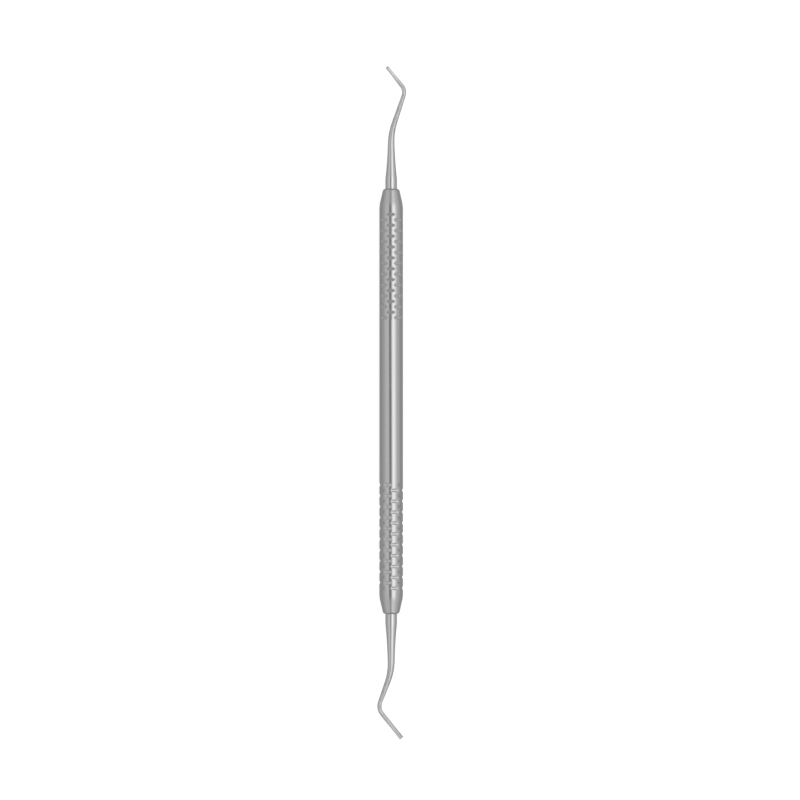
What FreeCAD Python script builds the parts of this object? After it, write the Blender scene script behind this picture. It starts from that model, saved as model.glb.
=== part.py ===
import FreeCAD, Part
import math
import os

# Double-ended plastic filling instrument: a turned steel handle with a milled grip near each end,
# and a tapered, twice-bent spatula blade pressed into each nose. All sizes are in millimetres.
#
# The frame: the origin is on the handle's axis at mid-length, +Y runs along the handle to the
# round-tipped blade, +Z is up from the surface that the instrument lies on, and both shanks are
# bent in the XY plane.

# Handle
HANDLE_DIAMETER = 6.0
HANDLE_LENGTH = 108.0
NOSE_LENGTH = 4.2  # the cone at each end
NOSE_DIAMETER = 4.05  # the cone's small end, before it is rounded over
NOSE_ROUNDING = 0.65
SHOULDER_BLEND = 8.0  # fillet where the cone meets the barrel

# Milled grips: rings of short troughs, each ring turned half a step from the ring before it
GRIP_RINGS = 20
NOTCHES_PER_RING = 5
RING_PITCH = 1.38
GRIP_SETBACK = 2.35  # from the nose's shoulder to the middle of the first ring
NOTCH_DEPTH = 0.22
NOTCH_MOUTH = 0.9  # the trough's width along the handle, at the barrel's surface
NOTCH_FLOOR = 0.66  # its flat floor
ROUND_GRIP_START = -2.0  # degrees from +Z towards +X, for a notch of the first ring
SQUARE_GRIP_START = 18.0
CUTTER_OVERRUN = 0.3  # how far the cutter runs past the trough at each side and above it

# Tang and bore: the tang is pressed in until the shank's shoulder sits on the nose
TANG_DIAMETER = 2.4
TANG_LENGTH = 10.0
TANG_CHAMFER = 0.3
TANG_CLEARANCE = 0.01  # all round, taken up by the press
BORE_SPARE = 0.5  # past the tang's end, before the drill point
DRILL_POINT_ANGLE = 118.0

# Shank shape that both ends share
SHANK_DIAMETER = 2.95
PARALLEL_LENGTH = 2.5  # of the shank, next to the handle
TAPER_HOLLOW = 0.06  # how far the flank of the taper to the first bend curves inwards
RUN_HOLLOW = 0.02  # and of the run to the second bend
FLARE_HOLLOW = 0.06  # how far the blade's edges curve inwards
FLAT_START = 0.6  # where the ground flats run out, past the second bend

# Round-tipped end: straight runs between the corners of the centreline, and the bends there
ROUND_FIRST_RUN = 14.3
ROUND_SECOND_RUN = 11.4
ROUND_BLADE_RUN = 7.6
ROUND_FIRST_TURN = 18.5
ROUND_SECOND_TURN = 57.4
ROUND_FIRST_BEND = 15.8
ROUND_SECOND_BEND = 2.6
ROUND_NECK_DIAMETER = 1.5  # at the first bend
ROUND_WRIST_DIAMETER = 1.03  # at the second bend
ROUND_BLADE_WIDTH = 1.85
ROUND_BLADE_THICKNESS = 0.7
ROUND_BLADE_ROLL = 8.0  # degrees about the blade's own length
ROUND_TIP_CORNER = 0.88  # corner radius of the blade's plan, nearly a half circle

# Square-tipped end
SQUARE_FIRST_RUN = 14.9
SQUARE_SECOND_RUN = 9.8
SQUARE_BLADE_RUN = 9.7
SQUARE_FIRST_TURN = 20.4
SQUARE_SECOND_TURN = 59.1
SQUARE_FIRST_BEND = 14.6
SQUARE_SECOND_BEND = 3.2
SQUARE_NECK_DIAMETER = 1.6
SQUARE_WRIST_DIAMETER = 1.08
SQUARE_BLADE_WIDTH = 2.2
SQUARE_BLADE_THICKNESS = 0.75
SQUARE_BLADE_ROLL = -10.0
SQUARE_TIP_CORNER = 0.2

HANDLE_RADIUS = HANDLE_DIAMETER / 2
HALF_HANDLE = HANDLE_LENGTH / 2
SAME_PLACE = 1e-6  # the most that two equal lengths differ by
ORIGIN = FreeCAD.Vector(0, 0, 0)
ACROSS = FreeCAD.Vector(1, 0, 0)
ALONG = FreeCAD.Vector(0, 1, 0)
UP = FreeCAD.Vector(0, 0, 1)


def line(start, end):
    """A straight edge between two (radius, y) points of a turned outline."""
    return Part.LineSegment(FreeCAD.Vector(*start, 0), FreeCAD.Vector(*end, 0)).toShape()


def hollow(start, end, depth):
    """An arc between two (radius, y) points that curves in towards the axis by depth."""
    middle = ((start[0] + end[0]) / 2 - depth, (start[1] + end[1]) / 2)
    points = [FreeCAD.Vector(*point, 0) for point in (start, middle, end)]
    return Part.Arc(*points).toShape()


def turned(edges):
    """A solid turned about the Y axis, from the edges of its outline, which starts and ends there."""
    start = edges[0].firstVertex().Point
    end = edges[-1].lastVertex().Point
    wire = Part.Wire(edges + [Part.makeLine(end, start)])
    return Part.Face(wire).revolve(ORIGIN, ALONG, 360)


def turned_corners(corners):
    """A turned solid with straight flanks, from its (radius, y) corners."""
    return turned([line(a, b) for a, b in zip(corners, corners[1:])])


def circles_at(solid, radius, height):
    """The solid's circular edges of one radius at one distance along Y, on either side of the middle."""
    return [
        edge
        for edge in solid.Edges
        if isinstance(edge.Curve, Part.Circle)
        and abs(edge.Curve.Radius - radius) < SAME_PLACE
        and abs(abs(edge.Curve.Center.y) - height) < SAME_PLACE
    ]


def end_for_end(shape):
    """A copy of the shape, turned half round about Z."""
    copy = shape.copy()
    copy.rotate(ORIGIN, UP, 180)
    return copy


def handle_blank():
    """The turned bar: a barrel with a blended cone and a rounded nose at each end."""
    nose_radius = NOSE_DIAMETER / 2
    shoulder = HALF_HANDLE - NOSE_LENGTH
    blank = turned_corners(
        [
            (0, -HALF_HANDLE),
            (nose_radius, -HALF_HANDLE),
            (HANDLE_RADIUS, -shoulder),
            (HANDLE_RADIUS, shoulder),
            (nose_radius, HALF_HANDLE),
            (0, HALF_HANDLE),
        ]
    )
    blank = blank.makeFillet(SHOULDER_BLEND, circles_at(blank, HANDLE_RADIUS, shoulder))
    return blank.makeFillet(NOSE_ROUNDING, circles_at(blank, nose_radius, HALF_HANDLE))


def tang_bore():
    """The blind hole for a tang in the nose at +Y, with its drill point."""
    radius = TANG_DIAMETER / 2 + TANG_CLEARANCE
    floor = HALF_HANDLE - TANG_LENGTH - BORE_SPARE
    point = floor - radius / math.tan(math.radians(DRILL_POINT_ANGLE / 2))
    return turned_corners([(0, point), (radius, floor), (radius, HALF_HANDLE), (0, HALF_HANDLE)])


def notch_cutter():
    """A bar with the trough's section, lying across the top of the barrel at mid-length."""
    floor = HANDLE_RADIUS - NOTCH_DEPTH
    half_trough = math.sqrt(HANDLE_RADIUS**2 - floor**2)
    half_length = half_trough + CUTTER_OVERRUN
    flank = (NOTCH_MOUTH - NOTCH_FLOOR) / 2 / NOTCH_DEPTH
    height = NOTCH_DEPTH + CUTTER_OVERRUN
    half_top = NOTCH_FLOOR / 2 + flank * height
    section = [
        (-NOTCH_FLOOR / 2, floor),
        (NOTCH_FLOOR / 2, floor),
        (half_top, floor + height),
        (-half_top, floor + height),
    ]
    corners = [FreeCAD.Vector(-half_length, y, z) for y, z in section]
    face = Part.Face(Part.makePolygon(corners + corners[:1]))
    return face.extrude(ACROSS * 2 * half_length)


def grip_cutters(start):
    """The cutters of the grip on the +Y half, ring by ring from the nose inwards."""
    cutter = notch_cutter()
    step = 360 / NOTCHES_PER_RING
    first_ring = HALF_HANDLE - NOSE_LENGTH - GRIP_SETBACK
    cutters = []
    for ring in range(GRIP_RINGS):
        for notch in range(NOTCHES_PER_RING):
            angle = start + (notch + ring % 2 / 2) * step
            copy = cutter.copy()
            copy.rotate(ORIGIN, ALONG, angle)
            copy.translate(ALONG * (first_ring - ring * RING_PITCH))
            cutters.append(copy)
    return cutters


def make_handle():
    """The finished handle: the blank with its two bores and two milled grips."""
    bore = tang_bore()
    # the half turn about Z carries an angle from +Z towards +X over to -X
    square_grip = [end_for_end(cutter) for cutter in grip_cutters(-SQUARE_GRIP_START)]
    return handle_blank().cut([bore, end_for_end(bore)] + grip_cutters(ROUND_GRIP_START) + square_grip)


def corner_cutter(edge, length, radius, side):
    """What trims one corner of a blade's plan round, where the plan lies in the YZ plane."""
    centre = FreeCAD.Vector(-edge, length - radius, side * (edge - radius))
    block = Part.makeBox(2 * edge, 2 * radius, 2 * radius, centre - UP * radius * (1 - side))
    return block.cut(Part.makeCylinder(radius, 2 * edge, centre, ACROSS))


class BladeEnd:
    """A tang, a tapered shank with two bends, and a spatula blade, built outwards from the nose.

    It grows piece by piece along its own centreline, in the XY plane. A positive turn is towards +X.
    """

    def __init__(self):
        self.at = ORIGIN
        self.heading = 0.0
        self.pieces = []

    def add(self, piece, length):
        """Put a piece that was made along +Y at the end of the work, and move on by its length."""
        piece.rotate(ORIGIN, UP, -self.heading)
        piece.translate(self.at)
        self.pieces.append(piece)
        angle = math.radians(self.heading)
        self.at = self.at + FreeCAD.Vector(math.sin(angle), math.cos(angle), 0) * length

    def stem(self, length, neck_diameter):
        """The turned stem: tang, seating shoulder, parallel root and hollow taper down to the neck."""
        tang = TANG_DIAMETER / 2
        root = SHANK_DIAMETER / 2
        neck = neck_diameter / 2
        outline = [
            line((0, -TANG_LENGTH), (tang - TANG_CHAMFER, -TANG_LENGTH)),
            line((tang - TANG_CHAMFER, -TANG_LENGTH), (tang, TANG_CHAMFER - TANG_LENGTH)),
            line((tang, TANG_CHAMFER - TANG_LENGTH), (tang, 0)),
            line((tang, 0), (root, 0)),
            line((root, 0), (root, PARALLEL_LENGTH)),
            hollow((root, PARALLEL_LENGTH), (neck, length), TAPER_HOLLOW),
            line((neck, length), (0, length)),
        ]
        self.add(turned(outline), length)

    def run(self, length, near_diameter, far_diameter):
        """A straight run, slightly tapered and slightly hollow."""
        near, far = (near_diameter / 2, 0), (far_diameter / 2, length)
        outline = [line((0, 0), near), hollow(near, far, RUN_HOLLOW), line(far, (0, length))]
        self.add(turned(outline), length)

    def bend(self, turn, radius, diameter):
        """A bend of the centreline, round in section."""
        side = math.copysign(1, turn)
        disc = Part.Face(Part.Wire(Part.makeCircle(diameter / 2, ORIGIN, ALONG)))
        elbow = disc.revolve(ACROSS * side * radius, UP * -side, abs(turn))
        self.add(elbow, 0)
        half = math.radians(turn) / 2
        angle = math.radians(self.heading) + half
        chord = 2 * radius * math.sin(abs(half))
        self.at = self.at + FreeCAD.Vector(math.sin(angle), math.cos(angle), 0) * chord
        self.heading += turn

    def blade(self, length, wrist_diameter, width, thickness, corner, roll):
        """The spatula: a turned flare ground to two hollow flats, its corners trimmed, then rolled."""
        wrist, edge = wrist_diameter / 2, width / 2
        flare = hollow((wrist, 0), (edge, length), FLARE_HOLLOW)
        blank = turned([line((0, 0), (wrist, 0)), flare, line((edge, length), (0, length))])
        rise = wrist - thickness / 2
        reach = length - FLAT_START
        wheel_radius = (reach**2 + rise**2) / (2 * rise)
        cutters = []
        for side in (-1, 1):
            centre = FreeCAD.Vector(side * (thickness / 2 + wheel_radius), length, -width)
            cutters.append(Part.makeCylinder(wheel_radius, 2 * width, centre, UP))
            cutters.append(corner_cutter(edge, length, corner, side))
        ground = blank.cut(cutters)
        ground.rotate(ORIGIN, ALONG, -roll)
        self.add(ground, length)

    def solid(self):
        """The pieces joined into one solid, standing on the nose at +Y."""
        whole = self.pieces[0].fuse(self.pieces[1:])
        whole.translate(ALONG * HALF_HANDLE)
        return whole


def setback(turn, bend_radius):
    """How far before its corner a bend begins."""
    return bend_radius * math.tan(math.radians(turn) / 2)


def make_round_blade_end():
    """The end with the round-tipped blade, in the nose at +Y."""
    first = setback(ROUND_FIRST_TURN, ROUND_FIRST_BEND)
    second = setback(ROUND_SECOND_TURN, ROUND_SECOND_BEND)
    end = BladeEnd()
    end.stem(ROUND_FIRST_RUN - first, ROUND_NECK_DIAMETER)
    end.bend(ROUND_FIRST_TURN, ROUND_FIRST_BEND, ROUND_NECK_DIAMETER)
    end.run(ROUND_SECOND_RUN - first - second, ROUND_NECK_DIAMETER, ROUND_WRIST_DIAMETER)
    end.bend(-ROUND_SECOND_TURN, ROUND_SECOND_BEND, ROUND_WRIST_DIAMETER)
    end.blade(
        ROUND_BLADE_RUN - second,
        ROUND_WRIST_DIAMETER,
        ROUND_BLADE_WIDTH,
        ROUND_BLADE_THICKNESS,
        ROUND_TIP_CORNER,
        ROUND_BLADE_ROLL,
    )
    return end.solid()


def make_square_blade_end():
    """The end with the square-tipped blade, in the nose at -Y."""
    first = setback(SQUARE_FIRST_TURN, SQUARE_FIRST_BEND)
    second = setback(SQUARE_SECOND_TURN, SQUARE_SECOND_BEND)
    end = BladeEnd()
    end.stem(SQUARE_FIRST_RUN - first, SQUARE_NECK_DIAMETER)
    end.bend(SQUARE_FIRST_TURN, SQUARE_FIRST_BEND, SQUARE_NECK_DIAMETER)
    end.run(SQUARE_SECOND_RUN - first - second, SQUARE_NECK_DIAMETER, SQUARE_WRIST_DIAMETER)
    end.bend(-SQUARE_SECOND_TURN, SQUARE_SECOND_BEND, SQUARE_WRIST_DIAMETER)
    end.blade(
        SQUARE_BLADE_RUN - second,
        SQUARE_WRIST_DIAMETER,
        SQUARE_BLADE_WIDTH,
        SQUARE_BLADE_THICKNESS,
        SQUARE_TIP_CORNER,
        SQUARE_BLADE_ROLL,
    )
    return end_for_end(end.solid())


PIECES = {
    "handle": make_handle,
    "round_blade_end": make_round_blade_end,
    "square_blade_end": make_square_blade_end,
}

os.makedirs("parts", exist_ok=True)
for name, make in PIECES.items():
    solids = make().Solids
    print(name, len(solids), "solid", solids[0].isValid(), round(solids[0].Volume, 2), "mm3")
    solids[0].exportStep(f"parts/{name}.step")
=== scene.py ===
"""Looks of a double-ended plastic filling instrument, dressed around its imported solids.

Everything is in metres, in the frame of the solids: +Y along the handle to the round-tipped
blade, +Z up from the surface that the instrument lies on. Shapes are worked out in millimetres
and scaled once, when a mesh is finished.
"""

import logging
import math
from dataclasses import dataclass
from enum import Enum
from typing import Any, ClassVar

import bmesh
import bpy
from mathutils import Matrix, Vector


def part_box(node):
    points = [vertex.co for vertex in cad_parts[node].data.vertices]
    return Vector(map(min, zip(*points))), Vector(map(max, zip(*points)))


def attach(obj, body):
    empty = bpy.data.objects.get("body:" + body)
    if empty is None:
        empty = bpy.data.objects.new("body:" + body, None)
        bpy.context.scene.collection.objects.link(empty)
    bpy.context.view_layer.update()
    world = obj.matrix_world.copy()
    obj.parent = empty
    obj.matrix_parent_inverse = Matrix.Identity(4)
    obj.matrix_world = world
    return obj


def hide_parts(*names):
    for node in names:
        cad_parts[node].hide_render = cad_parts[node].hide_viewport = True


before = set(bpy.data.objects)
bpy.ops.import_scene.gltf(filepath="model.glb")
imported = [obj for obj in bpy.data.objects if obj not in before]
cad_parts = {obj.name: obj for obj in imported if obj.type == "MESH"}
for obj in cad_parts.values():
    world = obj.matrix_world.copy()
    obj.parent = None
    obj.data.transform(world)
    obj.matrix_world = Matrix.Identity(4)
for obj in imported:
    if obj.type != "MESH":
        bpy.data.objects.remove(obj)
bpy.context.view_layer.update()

MM = 0.001
SAME_PLACE = 1e-4  # the most, in millimetres, that two points of one place differ by
MIX_FROM, MIX_TO, MIX_RESULT = 6, 7, 2  # the sockets of a Mix node of colours
Y_AXIS = Vector((0, 1, 0))
Z_AXIS = Vector((0, 0, 1))
Stops = tuple[tuple[float, float], ...]  # pairs of a place and the level there
log = logging.getLogger("instrument")


class Side(Enum):
    """Which half of the handle a feature is on, as the sign of its Y."""

    ROUND_TIP = 1
    SQUARE_TIP = -1


def linear(hex_colour: str) -> tuple[float, float, float, float]:
    """Turn an sRGB hex colour into the linear RGBA that a shader socket takes.

    Args:
        hex_colour: six hex digits, such as "C0C0BE".

    Returns:
        Linear red, green and blue, with an alpha of 1.
    """
    parts = [int(hex_colour[i : i + 2], 16) / 255 for i in (0, 2, 4)]
    red, green, blue = (
        c / 12.92 if c <= 0.04045 else ((c + 0.055) / 1.055) ** 2.4 for c in parts
    )
    return red, green, blue, 1.0


def add_node(
    tree: bpy.types.NodeTree, kind: str, inputs: dict[str | int, Any] | None = None, **settings: Any
) -> bpy.types.Node:
    """Add a node to a tree, with its settings, socket values and links.

    Args:
        tree: the node tree to add to.
        kind: the node's type name.
        inputs: input socket name or number to a plain value, or to the output socket that feeds it.
        settings: the node's own properties.

    Returns:
        The new node.
    """
    node = tree.nodes.new(kind)
    for name, value in settings.items():
        setattr(node, name, value)
    for key, value in (inputs or {}).items():
        if isinstance(value, bpy.types.NodeSocket):
            tree.links.new(value, node.inputs[key])
        else:
            node.inputs[key].default_value = value
    return node


def ramp(
    tree: bpy.types.NodeTree, driver: bpy.types.NodeSocket, stops: Stops
) -> bpy.types.NodeSocket:
    """Add a grey colour ramp.

    Args:
        tree: the node tree to add to.
        driver: the socket that it reads.
        stops: pairs of a place from 0 to 1 and a level.

    Returns:
        The ramp's colour socket.
    """
    node = add_node(tree, "ShaderNodeValToRGB", {"Fac": driver})
    elements = node.color_ramp.elements
    while len(elements) < len(stops):
        elements.new(1.0)
    for element, (place, level) in zip(elements, stops):
        element.position = place
        element.color = (level, level, level, 1.0)
    return node.outputs["Color"]


def empty_material(name: str) -> tuple[bpy.types.Material, bpy.types.NodeTree]:
    """Make a material with nothing in its node tree.

    Args:
        name: the material's name.

    Returns:
        The material and its tree.
    """
    material = bpy.data.materials.new(name)
    material.use_nodes = True
    material.node_tree.nodes.clear()
    return material, material.node_tree


def stretched_noise(
    tree: bpy.types.NodeTree,
    place: bpy.types.NodeSocket,
    grain: tuple[float, float, float],
    detail: float,
) -> bpy.types.NodeSocket:
    """Add a noise whose grains have a size of their own in each direction.

    Args:
        tree: the node tree to add to.
        place: the coordinates' socket.
        grain: the grains' size in each direction, in the coordinates' units.
        detail: how many finer layers the noise has.

    Returns:
        The noise's socket, from 0 to 1.
    """
    scaled = add_node(
        tree, "ShaderNodeMapping", {"Vector": place, "Scale": tuple(1 / size for size in grain)}
    )
    noise = add_node(
        tree, "ShaderNodeTexNoise", {"Vector": scaled.outputs[0], "Scale": 1.0, "Detail": detail}
    )
    return noise.outputs["Fac"]


def metal_surface(
    tree: bpy.types.NodeTree,
    colour: Any,
    roughness: Any,
    height: bpy.types.NodeSocket,
    height_mm: float,
) -> None:
    """Add the shader of a bare metal with its bump, and end the material with it.

    Args:
        tree: the material's node tree.
        colour: linear RGBA, or the socket that gives it.
        roughness: a number, or the socket that gives it.
        height: the socket that gives the bump's height, from 0 to 1.
        height_mm: how high that is, in millimetres.
    """
    bump = add_node(
        tree, "ShaderNodeBump", {"Height": height, "Strength": 1.0, "Distance": height_mm * MM}
    )
    shader = add_node(
        tree,
        "ShaderNodeBsdfPrincipled",
        {
            "Base Color": colour,
            "Metallic": 1.0,
            "Roughness": roughness,
            "Normal": bump.outputs["Normal"],
        },
    )
    add_node(tree, "ShaderNodeOutputMaterial", {"Surface": shader.outputs["BSDF"]})


@dataclass(frozen=True)
class TurnedSteel:
    """Austenitic stainless steel, turned on a lathe and left satin.

    The lathe leaves fine rings round the bar, which keep a reflection sharp across the bar and
    smear it along the bar. They are drawn coarser than the real feed, which is too fine to show.
    """

    name: str = "turned_stainless_steel"
    colour: str = "C6C5C5"
    roughness: float = 0.17
    roughness_spread: float = 0.05
    ring_pitch_mm: float = 0.12
    ring_reach_mm: float = 60.0
    ring_height_mm: float = 0.006
    cloud_size_mm: float = 9.0
    cloud_range: tuple[float, float] = (0.3, 0.7)

    def material(self) -> bpy.types.Material:
        """Build the material: ring bump and slow roughness clouds over a plain metal.

        Returns:
            The material.
        """
        material, tree = empty_material(self.name)
        place = add_node(tree, "ShaderNodeTexCoord").outputs["Object"]
        reach = self.ring_reach_mm * MM
        rings = stretched_noise(tree, place, (reach, self.ring_pitch_mm * MM, reach), 2.0)
        clouds = add_node(
            tree,
            "ShaderNodeTexNoise",
            {"Vector": place, "Scale": 1 / (self.cloud_size_mm * MM), "Detail": 3.0},
        )
        thin, thick = self.cloud_range
        rough = add_node(
            tree,
            "ShaderNodeMapRange",
            {
                "Value": clouds.outputs["Fac"],
                "From Min": thin,
                "From Max": thick,
                "To Min": self.roughness - self.roughness_spread / 2,
                "To Max": self.roughness + self.roughness_spread / 2,
            },
        )
        metal_surface(
            tree, linear(self.colour), rough.outputs["Result"], rings, self.ring_height_mm
        )
        return material


@dataclass(frozen=True)
class MilledSteel:
    """The same steel where a milling cutter has crossed it.

    Its fine chatter marks blur a reflection more than the turned rings do. They are drawn coarser
    than the real ones, which are too fine to show.
    """

    name: str = "milled_stainless_steel"
    colour: str = "C6C5C5"
    roughness: float = 0.24
    mark_pitch_mm: float = 0.09
    mark_height_mm: float = 0.004

    def material(self) -> bpy.types.Material:
        """Build the material: a plain metal with a fine bump.

        Returns:
            The material.
        """
        material, tree = empty_material(self.name)
        place = add_node(tree, "ShaderNodeTexCoord").outputs["Object"]
        marks = add_node(
            tree,
            "ShaderNodeTexNoise",
            {"Vector": place, "Scale": 1 / (self.mark_pitch_mm * MM), "Detail": 1.0},
        )
        metal_surface(
            tree, linear(self.colour), self.roughness, marks.outputs["Fac"], self.mark_height_mm
        )
        return material


@dataclass(frozen=True)
class GroundSteel:
    """Hardened stainless steel: polished on the stem, and ground matt by hand past the first bend.

    The stone leaves fine scratches lengthwise and dull patches where it was lifted. The blade is
    painted paler: a painted sheen that stands in for the light its flats catch. The scratches are
    drawn coarser than the real ones, which are too fine to show. The pattern follows the piece's
    own UV map, which is laid out in millimetres round and along the shank.
    """

    name: str = "ground_steel_and_painted_sheen"
    colour: str = "D4D3D3"
    patch_colour: str = "C3C2C1"
    # painted sheen: the blade's colour is painted paler, standing in for the light its flats catch
    blade_sheen_colour: str = "F0EFEF"
    painted_sheen_strength: float = 0.5
    polished_roughness: float = 0.2
    matt_roughness: float = 0.4
    matt_from_mm: float = 12.0
    matt_to_mm: float = 14.5
    sheen_from_mm: float = 24.0
    sheen_to_mm: float = 31.0
    roughness_spread: float = 0.1
    scratch_pitch_mm: float = 0.07
    scratch_length_mm: float = 3.0
    scratch_depth_mm: float = 0.003
    patch_width_mm: float = 0.45
    patch_length_mm: float = 1.3
    patch_range: tuple[float, float] = (0.45, 0.6)

    def share(
        self, tree: bpy.types.NodeTree, value: bpy.types.NodeSocket, start: float, end: float
    ) -> bpy.types.NodeSocket:
        """How far a value has come from one number to another, from 0 to 1.

        Args:
            tree: the material's node tree.
            value: the socket that gives the value.
            start: where the share is 0.
            end: where it is 1.

        Returns:
            The share's socket.
        """
        change = add_node(
            tree, "ShaderNodeMapRange", {"Value": value, "From Min": start, "From Max": end}
        )
        return change.outputs["Result"]

    def base_colour(
        self,
        tree: bpy.types.NodeTree,
        place: bpy.types.NodeSocket,
        matt: bpy.types.NodeSocket,
        blade: bpy.types.NodeSocket,
    ) -> bpy.types.NodeSocket:
        """The steel's colour: painted paler on the blade as a painted sheen, with dull patches where the
        shank is matt.

        Args:
            tree: the material's node tree.
            place: the UV map's socket.
            matt: how matt the shank is, from 0 to 1.
            blade: how near the blade the place is, from 0 to 1, which sets how much painted sheen it gets.

        Returns:
            The colour's socket.
        """
        strokes = stretched_noise(tree, place, (self.patch_width_mm, self.patch_length_mm, 1.0), 3.0)
        bright, dull = self.patch_range
        dullness = self.share(tree, strokes, bright, dull)
        patches = add_node(
            tree, "ShaderNodeMath", {0: dullness, 1: matt}, operation="MULTIPLY"
        )
        steel = add_node(
            tree,
            "ShaderNodeMix",
            {
                "Factor": patches.outputs[0],
                MIX_FROM: linear(self.colour),
                MIX_TO: linear(self.patch_colour),
            },
            data_type="RGBA",
        )
        # painted sheen: mix the paler colour in towards the blade's end
        painted_sheen = add_node(
            tree, "ShaderNodeMath", {0: blade, 1: self.painted_sheen_strength}, operation="MULTIPLY"
        )
        return add_node(
            tree,
            "ShaderNodeMix",
            {
                "Factor": painted_sheen.outputs[0],
                MIX_FROM: steel.outputs[MIX_RESULT],
                MIX_TO: linear(self.blade_sheen_colour),
            },
            data_type="RGBA",
        ).outputs[MIX_RESULT]

    def material(self) -> bpy.types.Material:
        """Build the material: scratches, patches, uneven polish and the blade's painted sheen over a plain
        metal.

        Returns:
            The material.
        """
        material, tree = empty_material(self.name)
        place = add_node(tree, "ShaderNodeUVMap", uv_map=ShankPiece.UV_NAME).outputs["UV"]
        grain = (self.scratch_pitch_mm, self.scratch_length_mm, 1.0)
        scratches = stretched_noise(tree, place, grain, 2.0)
        along = add_node(tree, "ShaderNodeSeparateXYZ", {0: place}).outputs["Y"]
        matt = self.share(tree, along, self.matt_from_mm, self.matt_to_mm)
        # how far into the blade, where the painted sheen is mixed in
        blade = self.share(tree, along, self.sheen_from_mm, self.sheen_to_mm)
        polish = add_node(
            tree,
            "ShaderNodeMath",
            {
                0: matt,
                1: self.matt_roughness - self.polished_roughness,
                2: self.polished_roughness - self.roughness_spread / 2,
            },
            operation="MULTIPLY_ADD",
        )
        rough = add_node(
            tree,
            "ShaderNodeMath",
            {0: scratches, 1: self.roughness_spread, 2: polish.outputs[0]},
            operation="MULTIPLY_ADD",
        )
        colour = self.base_colour(tree, place, matt, blade)
        metal_surface(tree, colour, rough.outputs[0], scratches, self.scratch_depth_mm)
        return material


def finished_object(
    mesh_builder: bmesh.types.BMesh,
    name: str,
    node: str,
    bevel_mm: float,
    bevel_from_deg: float,
) -> bpy.types.Object:
    """Turn a bmesh in millimetres into a finished piece that stands for a CAD node.

    Args:
        mesh_builder: the shape, which is freed.
        name: the piece's name.
        node: the CAD node that it replaces.
        bevel_mm: how wide its sharp edges are broken.
        bevel_from_deg: the least angle between faces that counts as a sharp edge.

    Returns:
        The object, riding on the one body.
    """
    bmesh.ops.remove_doubles(mesh_builder, verts=mesh_builder.verts, dist=SAME_PLACE)
    bmesh.ops.recalc_face_normals(mesh_builder, faces=mesh_builder.faces)
    bmesh.ops.scale(mesh_builder, vec=(MM, MM, MM), verts=mesh_builder.verts)
    for face in mesh_builder.faces:
        face.smooth = True
    mesh = bpy.data.meshes.new(name)
    mesh_builder.to_mesh(mesh)
    mesh_builder.free()
    piece = bpy.data.objects.new(name, mesh)
    bpy.context.scene.collection.objects.link(piece)
    bevel = piece.modifiers.new("broken_edges", "BEVEL")
    bevel.width = bevel_mm * MM
    bevel.segments = 2
    bevel.limit_method = "ANGLE"
    bevel.angle_limit = math.radians(bevel_from_deg)
    weighted = piece.modifiers.new("even_shading", "WEIGHTED_NORMAL")
    weighted.keep_sharp = True
    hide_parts(node)
    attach(piece, "root")
    finished = piece.evaluated_get(bpy.context.evaluated_depsgraph_get())
    triangles = len(finished.to_mesh().loop_triangles)
    finished.to_mesh_clear()
    log.info("%s: %d triangles", name, triangles)
    return piece


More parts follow.
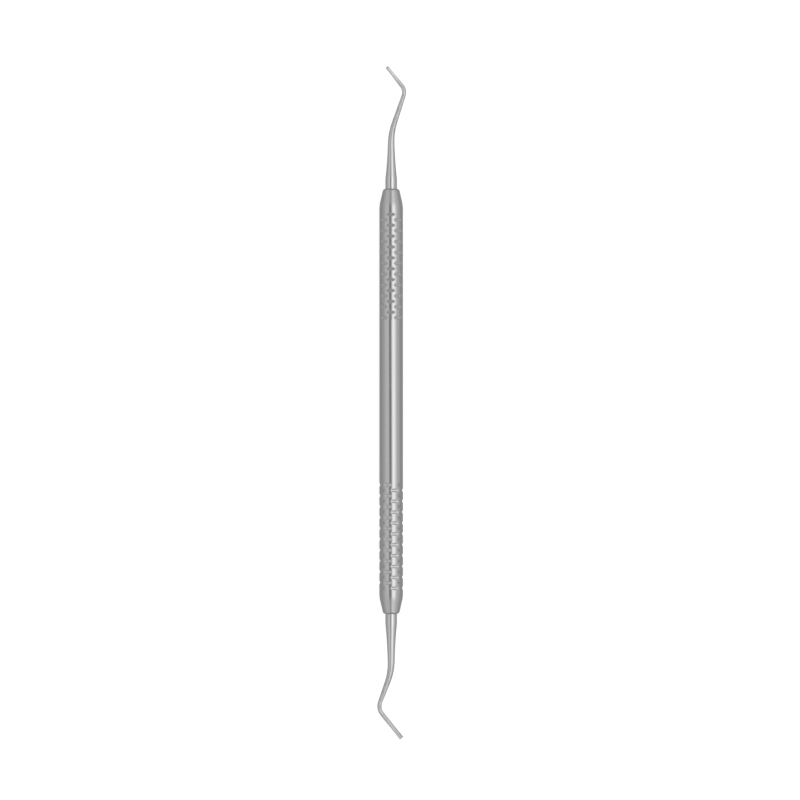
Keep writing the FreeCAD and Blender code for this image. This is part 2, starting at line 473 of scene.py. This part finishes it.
@dataclass
class Handle:
    """The turned handle with its two bores and two milled grips. Sizes are in millimetres."""

    radius: float
    half_length: float
    nose_length: float = 4.2
    nose_radius: float = 2.025
    nose_rounding: float = 0.65
    shoulder_blend: float = 8.0
    bore_radius: float = 1.21
    bore_depth: float = 10.5
    drill_point: float = 0.727
    countersink: float = 0.12
    rings: int = 20
    notches: int = 5
    ring_pitch: float = 1.38
    grip_setback: float = 2.35
    notch_depth: float = 0.22
    notch_mouth: float = 0.9
    columns: int = 80
    fan: float = 0.1
    round_grip_start: float = -2.0
    square_grip_start: float = 18.0
    edge_break: float = 0.03
    edge_angle: float = 24.0

    NOSE_STEPS: ClassVar[int] = 8
    BLEND_STEPS: ClassVar[int] = 6
    TROUGH_ROWS: ClassVar[tuple[float, ...]] = (1.0, 0.7, 0.35, 0.0, -0.35, -0.7, -1.0)
    TROUGH_COLUMNS: ClassVar[int] = 6
    NEAR: ClassVar[float] = 1e-3  # how near to a grip's rim a point still belongs to it

    @property
    def cone_angle(self) -> float:
        """Half the nose cone's angle, in radians."""
        return math.atan2(self.radius - self.nose_radius, self.nose_length)

    @property
    def trough_angle(self) -> float:
        """How far a trough reaches round the barrel to each side, in radians."""
        return math.acos((self.radius - self.notch_depth) / self.radius)

    @property
    def cutter_radius(self) -> float:
        """The radius of the round-nosed cutter that leaves the troughs."""
        return (self.notch_mouth**2 / 4 + self.notch_depth**2) / (2 * self.notch_depth)

    @property
    def columns_per_notch(self) -> int:
        """Mesh columns from one notch of a ring to the next."""
        return self.columns // self.notches

    def ring_height(self, ring: int) -> float:
        """The distance of a ring's middle from the middle of the handle."""
        return self.half_length - self.nose_length - self.grip_setback - ring * self.ring_pitch

    def arc(
        self, centre: tuple[float, float], radius: float, start: float, end: float, steps: int
    ) -> list[tuple[float, float]]:
        """Points of an arc in (radius, height), between two angles from the radius direction.

        Args:
            centre: the arc's centre.
            radius: the arc's radius.
            start: the first angle, in radians.
            end: the last angle, in radians.
            steps: how many chords the arc has.

        Returns:
            The points, with both ends.
        """
        angles = [start + (end - start) * i / steps for i in range(steps + 1)]
        return [
            (centre[0] + radius * math.cos(a), centre[1] + radius * math.sin(a)) for a in angles
        ]

    def half_outline(self) -> list[tuple[float, float]]:
        """The turned outline from the drill point at one end to the last row of that end's grip.

        Returns:
            Its points, as (radius, height).
        """
        cone = self.cone_angle
        shoulder = self.half_length - self.nose_length
        floor = self.half_length - self.bore_depth
        sink = self.countersink
        points = [
            (0.0, floor - self.drill_point),
            (self.bore_radius, floor),
            (self.bore_radius, self.half_length - sink),
            (self.bore_radius + sink, self.half_length),
        ]
        nose_centre = (
            self.nose_radius - self.nose_rounding * (1 - math.sin(cone)) / math.cos(cone),
            self.half_length - self.nose_rounding,
        )
        points += self.arc(nose_centre, self.nose_rounding, math.pi / 2, cone, self.NOSE_STEPS)
        blend_centre = (
            self.radius - self.shoulder_blend,
            shoulder - self.shoulder_blend * math.tan(cone / 2),
        )
        points += self.arc(blend_centre, self.shoulder_blend, cone, 0.0, self.BLEND_STEPS)
        half_pitch = self.ring_pitch / 2
        rows = [half_pitch] + [share * self.notch_mouth / 2 for share in self.TROUGH_ROWS]
        for ring in range(self.rings):
            points += [(self.radius, self.ring_height(ring) + row) for row in rows]
        points.append((self.radius, self.ring_height(self.rings - 1) - half_pitch))
        return points

    def lathe(self) -> bmesh.types.BMesh:
        """Spin the whole outline round the Y axis.

        Returns:
            The turned bar's mesh, in millimetres.
        """
        upper = self.half_outline()
        outline = upper + [(r, -y) for r, y in reversed(upper)]
        bm = bmesh.new()
        verts = [bm.verts.new((0.0, y, r)) for r, y in outline]
        edges = [bm.edges.new(pair) for pair in zip(verts, verts[1:])]
        bmesh.ops.spin(
            bm,
            geom=verts + edges,
            cent=(0, 0, 0),
            axis=Y_AXIS,
            angle=math.tau,
            steps=self.columns,
            use_merge=True,
        )
        bmesh.ops.remove_doubles(bm, verts=bm.verts, dist=SAME_PLACE)
        return bm

    def trough_point(self, step: int, share: float) -> tuple[float, float, float]:
        """Where a mesh point of a notch's cell goes.

        Args:
            step: its column, counted from the notch's middle.
            share: its row, as a share of the way from the trough's middle to its rim.

        Returns:
            Its angle from the notch's middle, its radius and its height.
        """
        columns = abs(step)
        past = columns - self.TROUGH_COLUMNS
        if past > 0:
            half_cell = math.pi / self.notches
            part = past / (self.columns_per_notch / 2 - self.TROUGH_COLUMNS)
            angle = self.trough_angle + (half_cell - self.trough_angle) * part
            return math.copysign(angle, step), self.radius, share * self.fan * past
        angle = self.trough_angle * columns / self.TROUGH_COLUMNS
        floor = self.radius - self.notch_depth
        depth = max(0.0, self.radius * math.cos(angle) - floor)
        rim = math.sqrt(self.cutter_radius**2 - (self.cutter_radius - depth) ** 2)
        height = share * rim
        lift = self.cutter_radius - math.sqrt(self.cutter_radius**2 - height**2)
        return math.copysign(angle, step), (floor + lift) / math.cos(angle), height

    def mill_grips(self, bm: bmesh.types.BMesh) -> None:
        """Move the points of the grips' rows into troughs, each ring half a step from the last.

        Args:
            bm: the lathe's mesh.
        """
        column_angle = math.tau / self.columns
        per_notch = self.columns_per_notch
        in_trough = bm.verts.layers.int.new("in_trough")
        for vert in bm.verts:
            side = Side.ROUND_TIP if vert.co.y > 0 else Side.SQUARE_TIP
            start = self.round_grip_start if side is Side.ROUND_TIP else self.square_grip_start
            first_column = round(math.radians(start) / column_angle)
            twist = math.radians(start) - first_column * column_angle
            angle = math.atan2(vert.co.x, vert.co.z)
            radius = math.hypot(vert.co.x, vert.co.z)
            height = abs(vert.co.y)
            ring = round((self.ring_height(0) - height) / self.ring_pitch)
            row = height - self.ring_height(ring)
            in_grip = 0 <= ring < self.rings and abs(row) <= self.ring_pitch / 2 + self.NEAR
            if in_grip and radius > self.radius - self.NEAR:
                offset = round(angle / column_angle) - first_column - (ring % 2) * per_notch // 2
                step = (offset + per_notch // 2) % per_notch - per_notch // 2
                share = row / (self.notch_mouth / 2)
                if abs(share) < 1 + self.NEAR:
                    turned, radius, rise = self.trough_point(step, share)
                    angle += turned - step * column_angle
                    height = self.ring_height(ring) + rise
                    vert[in_trough] = int(abs(step) <= self.TROUGH_COLUMNS)
            if radius > SAME_PLACE:
                angle += twist
            vert.co = Vector(
                (radius * math.sin(angle), side.value * height, radius * math.cos(angle))
            )
        for face in bm.faces:
            face.material_index = int(all(vert[in_trough] for vert in face.verts))

    def build(self, finish: TurnedSteel, milled: MilledSteel) -> bpy.types.Object:
        """Build and dress the handle.

        Args:
            finish: the turned surface.
            milled: the surface inside the notches.

        Returns:
            The handle.
        """
        bm = self.lathe()
        self.mill_grips(bm)
        piece = finished_object(
            bm, "turned_handle", "handle", self.edge_break, self.edge_angle
        )
        piece.data.materials.append(finish.material())
        piece.data.materials.append(milled.material())
        return piece


@dataclass
class ShankPiece:
    """A tang, tapered and twice-bent shank and spatula blade. Sizes are in millimetres."""

    name: str
    node: str
    side: Side
    runs: tuple[float, float, float]
    turns: tuple[float, float]
    bends: tuple[float, float]
    neck_radius: float
    bent_neck_radius: float
    wrist_radius: float
    blade_half_width: float
    blade_half_thickness: float
    roll: float
    corner: float
    nose: float
    tang_radius: float = 1.2
    tang_length: float = 10.0
    tang_chamfer: float = 0.3
    root_radius: float = 1.475
    root_chamfer: float = 0.06
    parallel_length: float = 2.5
    taper_hollow: float = 0.1
    flare_hollow: float = 0.06
    flat_start: float = 0.6
    edge_break: float = 0.05
    edge_angle: float = 18.0

    UV_NAME: ClassVar[str] = "round_and_along"
    RIM_LIMIT: ClassVar[float] = math.radians(80)  # of a flat's rim, where the section is round
    SIDE_COLUMNS: ClassVar[int] = 12
    FLAT_COLUMNS: ClassVar[int] = 6
    TAPER_STEPS: ClassVar[int] = 10
    RUN_STEPS: ClassVar[int] = 4
    BLADE_STEPS: ClassVar[int] = 14
    CORNER_STEPS: ClassVar[int] = 12
    DEGREES_A_STEP: ClassVar[float] = 5.0

    def __post_init__(self) -> None:
        """Start the centreline on the nose, heading out along the handle."""
        self.at = Vector((0.0, self.nose, 0.0))
        self.heading = 0.0
        self.travelled = 0.0
        self.bm = bmesh.new()
        self.column = self.bm.verts.layers.int.new("column")
        self.angle = self.bm.verts.layers.float.new("angle")
        self.radius = self.bm.verts.layers.float.new("radius")
        self.reach = self.bm.verts.layers.float.new("reach")
        self.rim: list[bmesh.types.BMEdge] = []

    def outline(
        self, radius: float, half_thickness: float, half_width: float
    ) -> list[tuple[float, float, float]]:
        """A round section, cut flat above, below and at both sides.

        Args:
            radius: the section's radius before it is cut.
            half_thickness: the distance of the flats above and below from the middle.
            half_width: the distance of the cuts at the sides from the middle.

        Returns:
            Points as (angle, across the width, through the thickness), the flats' rims among them.
        """
        rim = min(self.RIM_LIMIT, math.asin(min(1.0, half_thickness / radius)))
        stretches = ((-rim, 2 * rim, self.SIDE_COLUMNS), (rim, math.pi - 2 * rim, self.FLAT_COLUMNS))
        angles = [
            half_turn + start + sweep * i / columns
            for half_turn in (0.0, math.pi)
            for start, sweep, columns in stretches
            for i in range(columns)
        ]
        return [
            (
                angle,
                max(-half_width, min(half_width, radius * math.cos(angle))),
                max(-half_thickness, min(half_thickness, radius * math.sin(angle))),
            )
            for angle in angles
        ]

    def ring(
        self,
        ahead: float,
        radius: float,
        half_thickness: float | None = None,
        half_width: float | None = None,
    ) -> None:
        """Extrude the shank's open end to a new section.

        Args:
            ahead: how far the section is ahead of the place reached so far.
            radius: its radius.
            half_thickness: half its thickness where it is ground flat, or None where it is round.
            half_width: half its width where its sides are trimmed, or None where they aren't.
        """
        way = Vector((math.sin(self.heading), math.cos(self.heading), 0.0))
        aside = way.cross(Z_AXIS)
        roll = math.radians(self.roll)
        wide = Z_AXIS * math.cos(roll) - aside * math.sin(roll)
        flat = aside * math.cos(roll) + Z_AXIS * math.sin(roll)
        outline = self.outline(radius, half_thickness or radius, half_width or radius)
        centre = self.at + way * ahead
        if not self.rim:
            made = bmesh.ops.create_circle(self.bm, segments=len(outline), radius=radius)
            for number, vert in enumerate(made["verts"]):
                vert[self.column] = number
            self.rim = list(self.bm.edges)
        else:
            made = bmesh.ops.extrude_edge_only(self.bm, edges=self.rim)
            self.rim = [e for e in made["geom"] if isinstance(e, bmesh.types.BMEdge)]
        for vert in {v for edge in self.rim for v in edge.verts}:
            angle, across, through = outline[vert[self.column]]
            vert.co = centre + wide * across + flat * through
            vert[self.angle] = angle
            vert[self.radius] = radius
            vert[self.reach] = self.travelled + ahead

    def close(self) -> None:
        """Cap the shank's open end."""
        bmesh.ops.contextual_create(self.bm, geom=self.rim)

    def advance(self, length: float) -> None:
        """Move the place reached straight ahead."""
        self.at = self.at + Vector((math.sin(self.heading), math.cos(self.heading), 0.0)) * length
        self.travelled += length

    def stem(self, length: float) -> None:
        """The tang, the shoulder on the nose, the parallel root and the taper to the neck.

        Args:
            length: from the nose to the first bend.
        """
        self.ring(-self.tang_length, self.tang_radius - self.tang_chamfer)
        self.close()
        self.ring(self.tang_chamfer - self.tang_length, self.tang_radius)
        self.ring(0.0, self.tang_radius)
        self.ring(0.0, self.root_radius - self.root_chamfer)
        self.ring(self.root_chamfer, self.root_radius)
        for i in range(self.TAPER_STEPS + 1):
            share = i / self.TAPER_STEPS
            ahead = self.parallel_length + (length - self.parallel_length) * share
            radius = self.root_radius + (self.neck_radius - self.root_radius) * share
            self.ring(ahead, radius - 4 * self.taper_hollow * share * (1 - share))
        self.advance(length)

    def run(self, length: float) -> None:
        """The straight run between the bends, slightly tapered.

        Args:
            length: from the first bend to the second.
        """
        for i in range(1, self.RUN_STEPS + 1):
            share = i / self.RUN_STEPS
            radius = self.bent_neck_radius + (self.wrist_radius - self.bent_neck_radius) * share
            self.ring(length * share, radius)
        self.advance(length)

    def bend(self, turn: float, radius: float, before: float, after: float) -> None:
        """Follow a bend of the centreline.

        Args:
            turn: the change of heading in degrees, positive towards +X.
            radius: the centreline's radius.
            before: the shank's radius where the bend starts.
            after: its radius where the bend ends.
        """
        steps = math.ceil(abs(turn) / self.DEGREES_A_STEP)
        part = math.radians(turn) / steps
        chord = 2 * radius * math.sin(abs(part) / 2)
        for step in range(1, steps + 1):
            self.heading += part / 2
            self.advance(chord)
            self.heading += part / 2
            self.ring(0.0, before + (after - before) * step / steps)

    def blade(self, length: float) -> None:
        """The spatula: a flare ground to two hollow flats, with its plan's corners rounded.

        Args:
            length: from the second bend to the blade's end.
        """
        rise = self.wrist_radius - self.blade_half_thickness
        reach = length - self.flat_start
        wheel = (reach**2 + rise**2) / (2 * rise)
        straight = length - self.corner
        aheads = [straight * i / self.BLADE_STEPS for i in range(1, self.BLADE_STEPS + 1)]
        quarter = math.pi / 2 / self.CORNER_STEPS
        aheads += [straight + self.corner * math.sin(quarter * i) for i in range(1, self.CORNER_STEPS + 1)]
        for ahead in aheads:
            share = ahead / length
            radius = self.wrist_radius + (self.blade_half_width - self.wrist_radius) * share
            radius -= 4 * self.flare_hollow * share * (1 - share)
            into_corner = max(0.0, ahead - straight)
            trimmed = self.corner - math.sqrt(max(0.0, self.corner**2 - into_corner**2))
            left = length - ahead
            half = self.blade_half_thickness + wheel - math.sqrt(wheel**2 - left**2)
            self.ring(ahead, radius, half, self.blade_half_width - trimmed)
        self.close()
        self.advance(length)

    def lay_out_uv(self) -> None:
        """Lay the surface out in millimetres: round the shank and along it."""
        uv = self.bm.loops.layers.uv.new(self.UV_NAME)
        for face in self.bm.faces:
            last = max(loop.vert[self.angle] for loop in face.loops)
            for loop in face.loops:
                vert = loop.vert
                past_seam = last - vert[self.angle] > math.pi
                around = (vert[self.angle] + math.tau * past_seam) * vert[self.radius]
                loop[uv].uv = (around, vert[self.reach])

    def build(self, finish: GroundSteel) -> bpy.types.Object:
        """Build and dress the piece.

        Args:
            finish: its surface.

        Returns:
            The piece.
        """
        first, second = (
            bend * math.tan(math.radians(turn) / 2) for bend, turn in zip(self.bends, self.turns)
        )
        self.stem(self.runs[0] - first)
        self.bend(self.turns[0], self.bends[0], self.neck_radius, self.bent_neck_radius)
        self.run(self.runs[1] - first - second)
        self.bend(-self.turns[1], self.bends[1], self.wrist_radius, self.wrist_radius)
        self.blade(self.runs[2] - second)
        self.lay_out_uv()
        if self.side is Side.SQUARE_TIP:
            half_turn = Matrix.Rotation(math.pi, 3, "Z")
            bmesh.ops.rotate(self.bm, cent=(0, 0, 0), matrix=half_turn, verts=self.bm.verts)
        piece = finished_object(
            self.bm, self.name, self.node, self.edge_break, self.edge_angle
        )
        piece.data.materials.append(finish.material())
        return piece


@dataclass
class Studio:
    """The floor, the light and the camera. Sizes are in metres.

    The light is a tent of bands that run along the instrument. tent_bands gives their levels by the
    angle from overhead, in degrees towards +X. By how far a direction leans along the instrument,
    from 0 to 1, tent_reach gives how much of the bands is left, and tent_ends the level that takes
    their place. side_windows are brighter by so much where window_reach lets them, low at both
    sides, and give the barrel its highlights when it is seen from there.
    """

    floor_height: float
    frame_width: float = 0.2034
    frame_centre: tuple[float, float] = (0.00224, 0.00034)
    camera_height: float = 1.5
    floor_size: float = 30.0
    floor_glow_when_seen: float = 0.8
    floor_colour: str = "B4B4B2"
    floor_glow_in_metal: float = 0.12
    tent_level: float = 1.56
    tent_bands: Stops = (
        (-90, 0.38),
        (-76, 0.33),
        (-66, 0.42),
        (-40, 0.5),
        (-24, 0.5),
        (-18, 0.26),
        (-14, 0.16),
        (-4, 0.17),
        (3, 0.36),
        (10, 0.77),
        (20, 0.98),
        (32, 0.9),
        (44, 0.66),
        (56, 0.48),
        (74, 0.39),
        (90, 0.41),
    )
    tent_reach: Stops = ((0.0, 1.0), (0.15, 1.0), (0.44, 0.45), (0.8, 0.0))
    tent_ends: Stops = ((0.0, 0.42), (0.5, 0.42), (1.0, 0.26))
    side_windows: Stops = (
        (-72, 0.0),
        (-62, 0.45),
        (-52, 0.45),
        (-44, 0.0),
        (44, 0.0),
        (52, 0.6),
        (62, 0.6),
        (72, 0.0),
    )
    window_reach: Stops = ((0.5, 0.0), (0.62, 1.0), (0.74, 1.0), (0.82, 0.0))

    def floor_glow(self, tree: bpy.types.NodeTree) -> bpy.types.NodeSocket:
        """How much the floor glows for the ray that sees it: white for the camera, less for metal.

        Args:
            tree: the floor's node tree.

        Returns:
            The glow's socket.
        """
        path = add_node(tree, "ShaderNodeLightPath")
        direct = add_node(
            tree,
            "ShaderNodeMath",
            {0: path.outputs["Is Camera Ray"], 1: path.outputs["Is Transmission Ray"]},
            operation="MAXIMUM",
        )
        white = add_node(
            tree,
            "ShaderNodeMath",
            {0: direct.outputs[0], 1: self.floor_glow_when_seen},
            operation="MULTIPLY",
        )
        return add_node(
            tree,
            "ShaderNodeMath",
            {
                0: path.outputs["Is Glossy Ray"],
                1: self.floor_glow_in_metal,
                2: white.outputs[0],
            },
            operation="MULTIPLY_ADD",
        ).outputs[0]

    def floor(self) -> None:
        """A pale floor that shows as white and keeps the instrument's soft shadow."""
        bm = bmesh.new()
        bmesh.ops.create_grid(bm, x_segments=1, y_segments=1, size=self.floor_size / 2)
        mesh = bpy.data.meshes.new("floor")
        bm.to_mesh(mesh)
        bm.free()
        mesh.transform(Matrix.Translation((0, 0, self.floor_height)))
        floor = bpy.data.objects.new("floor", mesh)
        bpy.context.scene.collection.objects.link(floor)
        material, tree = empty_material("white_floor")
        light = add_node(
            tree, "ShaderNodeEmission", {"Color": (1, 1, 1, 1), "Strength": self.floor_glow(tree)}
        )
        paper = add_node(tree, "ShaderNodeBsdfDiffuse", {"Color": linear(self.floor_colour)})
        both = add_node(
            tree, "ShaderNodeAddShader", {0: paper.outputs["BSDF"], 1: light.outputs["Emission"]}
        )
        add_node(tree, "ShaderNodeOutputMaterial", {"Surface": both.outputs["Shader"]})
        mesh.materials.append(material)

    def sky(self) -> None:
        """A soft tent of light over the instrument, in bands that run along it."""
        world = bpy.data.worlds.new("tent")
        world.use_nodes = True
        bpy.context.scene.world = world
        tree = world.node_tree
        tree.nodes.clear()
        way = add_node(tree, "ShaderNodeTexCoord").outputs["Generated"]
        parts = add_node(tree, "ShaderNodeSeparateXYZ", {0: way})
        angle = add_node(
            tree,
            "ShaderNodeMath",
            {0: parts.outputs["X"], 1: parts.outputs["Z"]},
            operation="ARCTAN2",
        )
        share = add_node(
            tree,
            "ShaderNodeMapRange",
            {
                "Value": angle.outputs[0],
                "From Min": -math.pi,
                "From Max": math.pi,
                "To Min": 0.0,
                "To Max": 1.0,
            },
        )
        across, windows = (
            ramp(tree, share.outputs["Result"], tuple(((deg + 180) / 360, level) for deg, level in bands))
            for bands in (self.tent_bands, self.side_windows)
        )
        tilt = add_node(tree, "ShaderNodeMath", {0: parts.outputs["Y"]}, operation="ABSOLUTE")
        reach = ramp(tree, tilt.outputs[0], self.tent_reach)
        ends = add_node(
            tree,
            "ShaderNodeVectorMath",
            {
                0: windows,
                1: ramp(tree, tilt.outputs[0], self.window_reach),
                2: ramp(tree, tilt.outputs[0], self.tent_ends),
            },
            operation="MULTIPLY_ADD",
        )
        light = add_node(
            tree,
            "ShaderNodeMix",
            {"Factor": reach, MIX_FROM: ends.outputs["Vector"], MIX_TO: across},
            data_type="RGBA",
        )
        tent = add_node(
            tree,
            "ShaderNodeBackground",
            {"Color": light.outputs[MIX_RESULT], "Strength": self.tent_level},
        )
        white = add_node(tree, "ShaderNodeBackground", {"Color": (1, 1, 1, 1), "Strength": 1.0})
        camera = add_node(tree, "ShaderNodeLightPath").outputs["Is Camera Ray"]
        mix = add_node(
            tree,
            "ShaderNodeMixShader",
            {0: camera, 1: tent.outputs["Background"], 2: white.outputs["Background"]},
        )
        add_node(tree, "ShaderNodeOutputWorld", {"Surface": mix.outputs["Shader"]})

    def camera(self) -> None:
        """A long lens straight above the instrument, as in the photograph."""
        data = bpy.data.cameras.new("camera")
        data.lens = data.sensor_width * self.camera_height / self.frame_width
        data.clip_end = 10 * self.camera_height
        camera = bpy.data.objects.new("camera", data)
        camera.location = (*self.frame_centre, self.camera_height)
        bpy.context.scene.collection.objects.link(camera)
        bpy.context.scene.camera = camera

    def build(self) -> None:
        """Set up everything round the instrument."""
        bpy.context.scene.view_settings.view_transform = "Standard"
        self.camera()
        self.floor()
        self.sky()


def main() -> None:
    """Build the studio, then each piece of the instrument in order."""
    logging.basicConfig(level=logging.INFO, format="%(message)s")
    low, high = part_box("handle")
    Studio(floor_height=low.z).build()
    handle = Handle(radius=high.z / MM, half_length=high.y / MM)
    handle.build(TurnedSteel(), MilledSteel())
    finish = GroundSteel()
    ShankPiece(
        name="round_tipped_spatula",
        node="round_blade_end",
        side=Side.ROUND_TIP,
        runs=(14.3, 11.4, 7.6),
        turns=(18.5, 57.4),
        bends=(15.8, 2.6),
        neck_radius=0.84,
        bent_neck_radius=0.67,
        wrist_radius=0.515,
        blade_half_width=0.925,
        blade_half_thickness=0.35,
        roll=8.0,
        corner=0.88,
        nose=handle.half_length,
    ).build(finish)
    ShankPiece(
        name="square_tipped_spatula",
        node="square_blade_end",
        side=Side.SQUARE_TIP,
        runs=(14.9, 9.8, 9.7),
        turns=(20.4, 59.1),
        bends=(14.6, 3.2),
        neck_radius=0.89,
        bent_neck_radius=0.71,
        wrist_radius=0.54,
        blade_half_width=1.1,
        blade_half_thickness=0.375,
        roll=-10.0,
        corner=0.2,
        nose=handle.half_length,
    ).build(finish)


if __name__ == "__main__":
    main()
